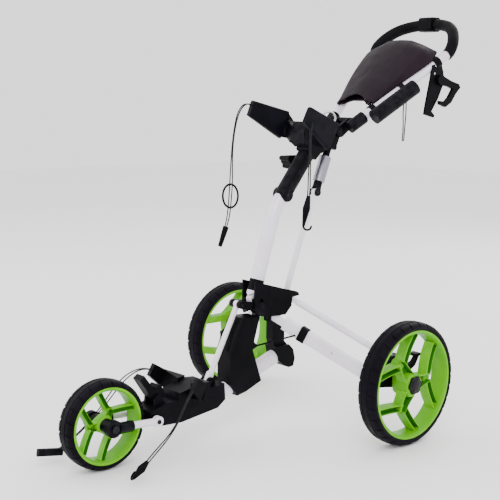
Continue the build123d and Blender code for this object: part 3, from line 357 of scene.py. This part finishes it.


def add_channel(mesh, centre, outside, start, end, widths, ridges, depth, size):
    """Channelled rib between two (radius, angle) stations: raised edges, sunken floor coloured darker as
    painted shade, open back.
    """
    start_point = Vector((start[0] * math.cos(start[1]), start[0] * math.sin(start[1])))
    end_point = Vector((end[0] * math.cos(end[1]), end[0] * math.sin(end[1])))
    along = (end_point - start_point).normalized()
    across = Vector((-along.y, along.x))
    loops = []
    steps = 10
    for k in range(steps + 1):
        share = k / steps
        place = start_point.lerp(end_point, share)
        spread = widths[0] + (widths[1] - widths[0]) * share
        ridge = ridges[0] + (ridges[1] - ridges[0]) * share - ridges[2] * math.sin(math.pi * share)
        floor = ridge - 13.0 * size
        wall = 3.6 * size
        back = ridge - depth
        section = [(-spread, back), (-spread, ridge - 1.4), (-spread + 1.2, ridge),
                   (-spread + wall - 1.0, ridge), (-spread + wall + 0.8, floor), (0.0, floor - 0.8),
                   (spread - wall - 0.8, floor), (spread - wall + 1.0, ridge), (spread - 1.2, ridge),
                   (spread, ridge - 1.4), (spread, back)]
        loops.append([Vector((centre[0] + outside * x, centre[1] + place.x + across.x * t,
                              centre[2] + place.y + across.y * t)) * MM for t, x in section])
    first = len(mesh.faces)
    add_loops(mesh, loops, close_around=False, cap_ends=True)
    mesh.faces.ensure_lookup_table()
    # the channel floor faces take the rim's second slot, a darker green that paints shade into the recess
    for k in range(steps):
        for column in SHADED_CHANNEL_FLOOR:
            mesh.faces[first + k * len(section) + column].material_index = 1


REAR_RIM, FRONT_RIM = 128.0, 85.0
FORK_SPREAD = math.radians(40.5)      # each leg of an arm leans this far from the arm's middle


def turned(centre, section, steps):
    """Loops of a section of (axial offset, radius) points turned about a wheel's axis."""
    return [[wheel_point(centre, x, r, 2 * math.pi * k / steps) for x, r in section] for k in range(steps)]


def make_rim(name, body, centre, rim_radius, width, outside, first_arm, hub_radius, hub_half, bore,
             knot_share):
    """Moulded rim: deep barrel with lips, hub boss and three forked arms of channelled ribs."""
    size = rim_radius / REAR_RIM
    half = width / 2 - 1.0
    mesh = bmesh.new()
    barrel = [(-half, rim_radius - 0.1), (half, rim_radius - 0.1), (half, rim_radius - 4.6),
              (half - 1.0, rim_radius - 6.0), (half - 3.4, rim_radius - 6.4), (half - 4.4, rim_radius - 8.2),
              (half * 0.45, rim_radius - 9.0), (0, rim_radius - 9.6), (-half * 0.45, rim_radius - 8.6),
              (-half + 4.4, rim_radius - 7.6), (-half + 3.4, rim_radius - 5.4),
              (-half + 1.0, rim_radius - 5.0), (-half, rim_radius - 3.6)]
    add_loops(mesh, turned(centre, barrel, 120))
    boss = [(-hub_half, bore), (hub_half, bore), (hub_half, hub_radius - 3), (hub_half - 1.5, hub_radius - 1),
            (hub_half - 6, hub_radius + 0.5), (0, hub_radius + 1.5), (-hub_half + 6, hub_radius + 0.5),
            (-hub_half + 1.5, hub_radius - 1), (-hub_half, hub_radius - 3)]
    loops = []
    for k in range(60):
        angle = 2 * math.pi * k / 60
        lobe = 1.0 + 0.10 * math.cos(3 * (angle - first_arm))
        loops.append([wheel_point(centre, x, r * lobe if r > bore + 1 else r, angle) for x, r in boss])
    add_loops(mesh, loops)
    knot_radius = knot_share * rim_radius
    rim_seat = rim_radius - 8.0
    hub_ridge = hub_half - 2.0
    knot_ridge = min(hub_half - 1.0, half - 6.0 * size)
    rim_ridge = half - 9.0 * size
    depth = 27.0 * size
    for arm in range(3):
        middle = first_arm + arm * 2 * math.pi / 3
        add_channel(mesh, centre, outside, (hub_radius - 5, middle), (knot_radius + 7 * size, middle),
                    (17.0 * size, 10.0 * size), (hub_ridge, knot_ridge, 1.5 * size), depth, size)
        knot = (centre[0], centre[1] + (knot_radius + 1) * math.cos(middle),
                centre[2] + (knot_radius + 1) * math.sin(middle))
        knot_section = [(knot_ridge - depth, 0.5), (knot_ridge - depth, 12.5 * size),
                        (knot_ridge - 9, 12.0 * size), (knot_ridge - 10.5, 10.0 * size),
                        (knot_ridge - 11.5, 0.5)]
        add_loops(mesh, turned(knot, [(outside * x, r) for x, r in knot_section], 24))
        for lean in (-1, 1):
            add_channel(mesh, centre, outside, (knot_radius + 1 * size, middle + 0.14 * lean),
                        (rim_seat, middle + FORK_SPREAD * lean), (8.6 * size, 8.8 * size),
                        (knot_ridge - 0.4, rim_ridge, 3.0 * size), depth, size)
    rim = new_piece(name, body, green, mesh, 35.0)
    # second slot: the darker green of painted shade on the channel floors
    rim.data.materials.append(green_painted_shade)
    return rim


def make_cap(name, body, centre, face_x, outside, first_arm):
    """Six-sided hub cap with rounded corners and a stepped, slightly domed face."""
    mesh = bmesh.new()
    loops = []
    steps = ((0.0, 1.0), (3.6, 1.0), (4.6, 0.95), (5.0, 0.86), (4.6, 0.80), (5.6, 0.70), (6.4, 0.4),
             (6.7, 0.06))
    for height, shrink in steps:
        loop = []
        for k in range(80):
            angle = 2 * math.pi * k / 80
            r = (20.8 + 1.6 * math.cos(6 * (angle - first_arm))) * shrink
            loop.append(wheel_point((face_x, *centre[1:]), outside * height, r, angle))
        loops.append(loop)
    add_loops(mesh, loops, close_around=False, cap_ends=True)
    return new_piece(name, body, cap_black, mesh, 30.0)


REAR_X, REAR_Y, REAR_RADIUS, REAR_WIDTH = 310.5, 147.0, 146.0, 51.0
FRONT_Y, FRONT_RADIUS, FRONT_WIDTH = -487.0, 99.0, 50.0
CAP_SEAT = 24.9
REAR_BLOCKS, FRONT_BLOCKS = 30, 22
# hub radius, hub half width, bore, and the share of the rim's radius where an arm forks
REAR_HUB = (27.0, 24.3, 14.1, 0.47)
FRONT_HUB = (20.0, 12.9, 13.1, 0.37)

for side, outside, first_arm in (("left", 1, 4.5), ("right", -1, -7.0)):
    centre = (outside * REAR_X, REAR_Y, REAR_RADIUS)
    body = side + "_wheel"
    arms = math.radians(first_arm)
    tyre = make_tyre(side + "_tyre_tread", body, centre, REAR_RADIUS, REAR_WIDTH, REAR_RIM, REAR_BLOCKS)
    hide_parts(side + "_tyre")
    rim = make_rim(side + "_rim_moulding", body, centre, REAR_RIM, REAR_WIDTH, outside, arms, *REAR_HUB)
    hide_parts(side + "_rim")
    cap = make_cap(side + "_cap_moulding", body, centre, outside * (REAR_X + CAP_SEAT), outside, arms)
    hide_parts(side + "_hub_cap")

front_centre = (0.0, FRONT_Y, FRONT_RADIUS)
tyre = make_tyre("front_tyre_tread", "front_wheel", front_centre, FRONT_RADIUS, FRONT_WIDTH, FRONT_RIM,
                 FRONT_BLOCKS)
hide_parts("front_tyre")
rim = make_rim("front_rim_moulding", "front_wheel", front_centre, FRONT_RIM, FRONT_WIDTH, 1,
               math.radians(62.2), *FRONT_HUB)
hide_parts("front_rim")


# ---- console lid --------------------------------------------------------------------------------
LEG_PITCH = Vector((0.0, 360.0, 254.2)).normalized()      # along the handle legs, seen from the side
OFF_LEGS = Vector((0.0, -LEG_PITCH.z, LEG_PITCH.y))
HANDLE_PIVOT = Vector((0.0, 209.1, 718.0))
LID_BASE = 15.65
LID_FRONT, LID_REAR, LID_STEPS = 100.6, 329.4, 46
LID_WALL = 0.0028
SCOOP_CENTRE, SCOOP_RADIUS = 70.0, 46.5
# distance along the legs, half width, shoulder (across, height), crest (across, height), ridge height
LID_STATIONS = (
    (100.0, 61.0, 56.0, 20.0, 22.0, 27.5, 30.0), (200.0, 92.0, 84.0, 30.0, 34.0, 40.5, 43.0),
    (280.0, 119.0, 94.0, 39.0, 42.0, 52.5, 55.0), (306.0, 116.0, 92.0, 40.0, 42.0, 55.0, 57.5),
    (330.0, 108.0, 85.0, 32.0, 40.0, 53.0, 56.0),
)


def lid_measures(along):
    """Lid measures at a distance along the legs, on a smooth curve through the stations."""
    keys = [station[0] for station in LID_STATIONS]
    i = max(k for k in range(len(keys) - 1) if along >= keys[k] or k == 0)
    span = keys[i + 1] - keys[i]
    t = min(1.0, max(0.0, (along - keys[i]) / span))
    values = []
    for column in range(1, 7):
        here, there = LID_STATIONS[i][column], LID_STATIONS[i + 1][column]
        slope_here = slope_there = (there - here) / span
        if i > 0:
            slope_here = (there - LID_STATIONS[i - 1][column]) / (keys[i + 1] - keys[i - 1])
        if i < len(keys) - 2:
            slope_there = (LID_STATIONS[i + 2][column] - here) / (keys[i + 2] - keys[i])
        value = (2 * t ** 3 - 3 * t ** 2 + 1) * here
        value += (t ** 3 - 2 * t ** 2 + t) * span * slope_here
        value += (3 * t ** 2 - 2 * t ** 3) * there
        value += (t ** 3 - t ** 2) * span * slope_there
        values.append(value)
    return values


def lid_half_section(along):
    """Half cross-section from the side wall's foot to the ridge, as (across, height)."""
    half, shoulder_x, shoulder_z, crest_x, crest_z, ridge = lid_measures(along)
    points = [(half, LID_BASE), (half * 0.985, LID_BASE + 2.5), (shoulder_x + 1.4, shoulder_z - 1.6),
              (shoulder_x - 1.6, shoulder_z + 0.5)]
    for k in range(1, 8):
        share = k / 8
        points.append((shoulder_x + (crest_x - shoulder_x) * share,
                       shoulder_z + (crest_z - shoulder_z) * share + math.sin(math.pi * share)))
    points += [(crest_x + 0.8, crest_z - 0.1), (crest_x - 1.5, crest_z + 0.2)]
    points += [(crest_x * (1 - k / 5), crest_z + (ridge - crest_z) * math.sin(math.pi / 2 * k / 5))
               for k in range(1, 6)]
    return points


def lid_ring(along):
    """One loop of the lid across the legs; its middle keeps clear of the round scoop in front."""
    half = lid_half_section(along)
    ring = []
    for x, z in half + [(-x, z) for x, z in reversed(half[:-1])]:
        place, height = along, z
        if abs(x) < SCOOP_RADIUS - 0.5:
            place = max(along, SCOOP_CENTRE + math.sqrt(SCOOP_RADIUS ** 2 - x ** 2))
        if place > along:
            height = min(z, lid_measures(place)[5])
        ring.append((HANDLE_PIVOT + LEG_PITCH * place + OFF_LEGS * height + Vector((x, 0.0, 0.0))) * MM)
    return ring


def make_lid():
    """Lid shell: smooth along its length, creased at the shoulders, with a scooped front edge."""
    mesh = bmesh.new()
    rings = []
    for k in range(LID_STEPS + 1):
        along = LID_FRONT + (LID_REAR - LID_FRONT) * k / LID_STEPS
        rings.append([mesh.verts.new(point) for point in lid_ring(along)])
    for first, second in zip(rings, rings[1:]):
        for i in range(len(first) - 1):
            mesh.faces.new((first[i], first[i + 1], second[i + 1], second[i]))
    mesh.faces.new(rings[-1])
    bmesh.ops.remove_doubles(mesh, verts=mesh.verts, dist=0.00002)
    bmesh.ops.dissolve_degenerate(mesh, edges=mesh.edges, dist=0.00002)
    lid = new_piece("console_lid_shell", "lid", console, mesh, 24.0)
    wall = lid.modifiers.new("wall", "SOLIDIFY")
    wall.thickness = LID_WALL
    wall.offset = -1.0
    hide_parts("console_lid")


make_lid()


# ---- elastic cords ----------------------------------------------------------------------------
CORD = 0.003


def elastic(name, body, line, node):
    """Elastic cord folded in half: one smooth line out along the route and back beside it."""
    out = [(x - gap, y, z) for x, y, z, gap in line]
    back = [(x + gap, y, z) for x, y, z, gap in reversed(line)]
    route = out + back
    data = bpy.data.curves.new(name, "CURVE")
    data.dimensions = "3D"
    data.bevel_depth = CORD / 2
    data.bevel_resolution = 4
    data.resolution_u = 10
    data.use_fill_caps = True
    spline = data.splines.new("NURBS")
    spline.points.add(len(route) - 1)
    for point, place in zip(spline.points, route):
        point.co = (*(Vector(place) * MM), 1.0)
    spline.order_u = 3
    spline.use_endpoint_u = True
    data.materials.append(cord_black)
    piece = bpy.data.objects.new(name, data)
    bpy.context.scene.collection.objects.link(piece)
    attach(piece, body)
    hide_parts(node)


# each point: x, y, z of the middle line and half the gap between the two strands
elastic("upper_right_elastic", "carriage", [
    (-100, 15.4, 780, 3.5), (-100, 2, 783.5, 3.5), (-100, -14, 776, 3.2), (-100, -28, 756, 2.6),
    (-100, -37, 722, 1.7), (-100, -43, 682, 1.7), (-100, -45, 640, 2.6), (-100, -45.5, 597, 5.0),
    (-100, -48, 554, 4.5), (-100, -52.5, 512, 4.5), (-100, -61, 483, 3.0), (-100, -70, 461.2, 3.5),
    (-100, -74.9, 448.5, 3.5),
], "upper_right_bungee")
elastic("upper_left_elastic", "carriage", [
    (100, 24, 743.5, 3.5), (100, 23, 705, 2.0), (100, 24, 665, 1.7), (100, 22.5, 622, 3.2),
    (100, 23, 588, 3.5), (100, 20.5, 566, 3.0), (100, 17.5, 552.5, 3.5),
], "upper_left_bungee")
elastic("lower_right_elastic", "chassis", [
    (-81, -300.2, 170, 3.5), (-81.5, -317, 175.5, 3.5), (-84, -340, 174, 4.5), (-88, -366, 162, 6.5),
    (-93, -391, 138, 7.0), (-97, -417, 106, 5.0), (-100, -449, 76, 2.5), (-102, -484, 49, 1.8),
    (-104, -518, 29, 2.2), (-106, -542, 19, 3.5), (-106, -555, 20, 3.5),
], "lower_right_bungee")
elastic("lower_left_elastic", "chassis", [
    (81, -300.5, 162.5, 3.5), (83, -317, 145, 2.2), (88, -337, 120, 1.8), (94, -356, 98, 1.8),
    (103, -385, 77, 2.4), (112, -418, 61, 4.0), (118, -444, 47, 4.0), (122.5, -463, 36.5, 3.5),
    (122.5, -474, 29.5, 3.5),
], "lower_left_bungee")
elastic("umbrella_lanyard", "handle", [
    (112, 344, 792.2, 3.5), (112, 343, 768, 5.0), (112, 343.6, 740, 3.0), (112, 342.4, 712, 2.2),
    (112, 341, 696, 3.0),
], "lanyard")


# ---- grip -------------------------------------------------------------------------------------
GRIP_RADIUS = 0.0148


def make_grip():
    """Foam grip as one smooth tube from leg to leg."""
    half = [(125.3, 486.7, 914.1), (127.4, 493.0, 918.5), (130, 507, 946), (98, 543, 984), (42, 568, 1000)]
    points = half + [(-x, y, z) for x, y, z in reversed(half)]
    data = bpy.data.curves.new("grip_path", "CURVE")
    data.dimensions = "3D"
    data.resolution_u = 24
    spline = data.splines.new("NURBS")
    spline.points.add(len(points) - 1)
    for point, place in zip(spline.points, points):
        point.co = (*(Vector(place) * MM), 1.0)
    spline.order_u = 3
    spline.use_endpoint_u = True
    data.bevel_depth = GRIP_RADIUS
    data.bevel_resolution = 10
    data.use_fill_caps = True
    data.materials.append(grip_foam)
    grip = bpy.data.objects.new("grip_foam_tube", data)
    bpy.context.scene.collection.objects.link(grip)
    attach(grip, "handle")
    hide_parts("handle_grip")


make_grip()


# ---- sleeve on the foot of the upper tube ---------------------------------------------------------
TUBE_FOOT = Vector((0.0, -59.5, 321.0))
TUBE_AXIS = Vector((0.0, 67.8, 215.0)).normalized()
# distance along the tube from its foot hinge, and radius
SLEEVE_STATIONS = ((19.2, 17.52), (19.4, 17.9), (46.0, 17.9), (47.0, 17.8), (47.4, 17.52))
SLEEVE_SIDES = 64


def make_foot_sleeve():
    """Thin black sleeve round the upper tube's foot, where it stands in the housing."""
    across = Vector((1.0, 0.0, 0.0))
    square = TUBE_AXIS.cross(across)
    mesh = bmesh.new()
    loops = []
    for along, radius in SLEEVE_STATIONS:
        loop = []
        for k in range(SLEEVE_SIDES):
            angle = 2 * math.pi * k / SLEEVE_SIDES
            spoke = across * math.cos(angle) + square * math.sin(angle)
            loop.append((TUBE_FOOT + TUBE_AXIS * along + spoke * radius) * MM)
        loops.append(loop)
    add_loops(mesh, loops, close_around=False)
    new_piece("upper_tube_foot_sleeve", "main_bar", black, mesh, 30.0)


make_foot_sleeve()


# ---- floor and light ------------------------------------------------------------------------
FLOOR_HALF = 8.0
FLOOR_GAP = 0.0005
WORLD_STRENGTH = 1.7


def make_floor():
    """Plain pale floor under the wheels."""
    mesh = bmesh.new()
    bmesh.ops.create_grid(mesh, x_segments=1, y_segments=1, size=FLOOR_HALF)
    data = bpy.data.meshes.new("floor")
    mesh.to_mesh(data)
    mesh.free()
    s = Shader("pale_floor")
    colour = s.ramp(s.noise(0.8), ((0.3, (0.93, 0.93, 0.93)), (0.7, (0.95, 0.95, 0.95))))
    rough = s.span(s.noise(3.0), 0.3, 0.7, 0.75, 0.85)
    data.materials.append(s.finish(colour, rough, s.bump(s.noise(30.0), 0.02, 0.0002)))
    floor = bpy.data.objects.new("floor", data)
    floor.location.z = -FLOOR_GAP
    bpy.context.scene.collection.objects.link(floor)


def add_light(name, place, target, size, power):
    """Soft square lamp aimed at a point."""
    data = bpy.data.lights.new(name, "AREA")
    data.size = size
    data.energy = power
    lamp = bpy.data.objects.new(name, data)
    lamp.location = place
    lamp.rotation_euler = (Vector(target) - Vector(place)).to_track_quat("-Z", "Y").to_euler()
    bpy.context.scene.collection.objects.link(lamp)


make_floor()
add_light("key", (2.4, -2.2, 3.0), (0, 0, 0.4), 2.0, 90.0)
add_light("fill", (-2.6, -1.8, 2.0), (0, 0, 0.4), 2.5, 45.0)
add_light("back", (-0.5, 3.0, 2.6), (0, 0, 0.5), 2.5, 60.0)
world = bpy.data.worlds.new("studio")
world.use_nodes = True
background = world.node_tree.nodes["Background"]
background.inputs["Color"].default_value = (1.0, 1.0, 1.0, 1.0)
background.inputs["Strength"].default_value = WORLD_STRENGTH
bpy.context.scene.world = world
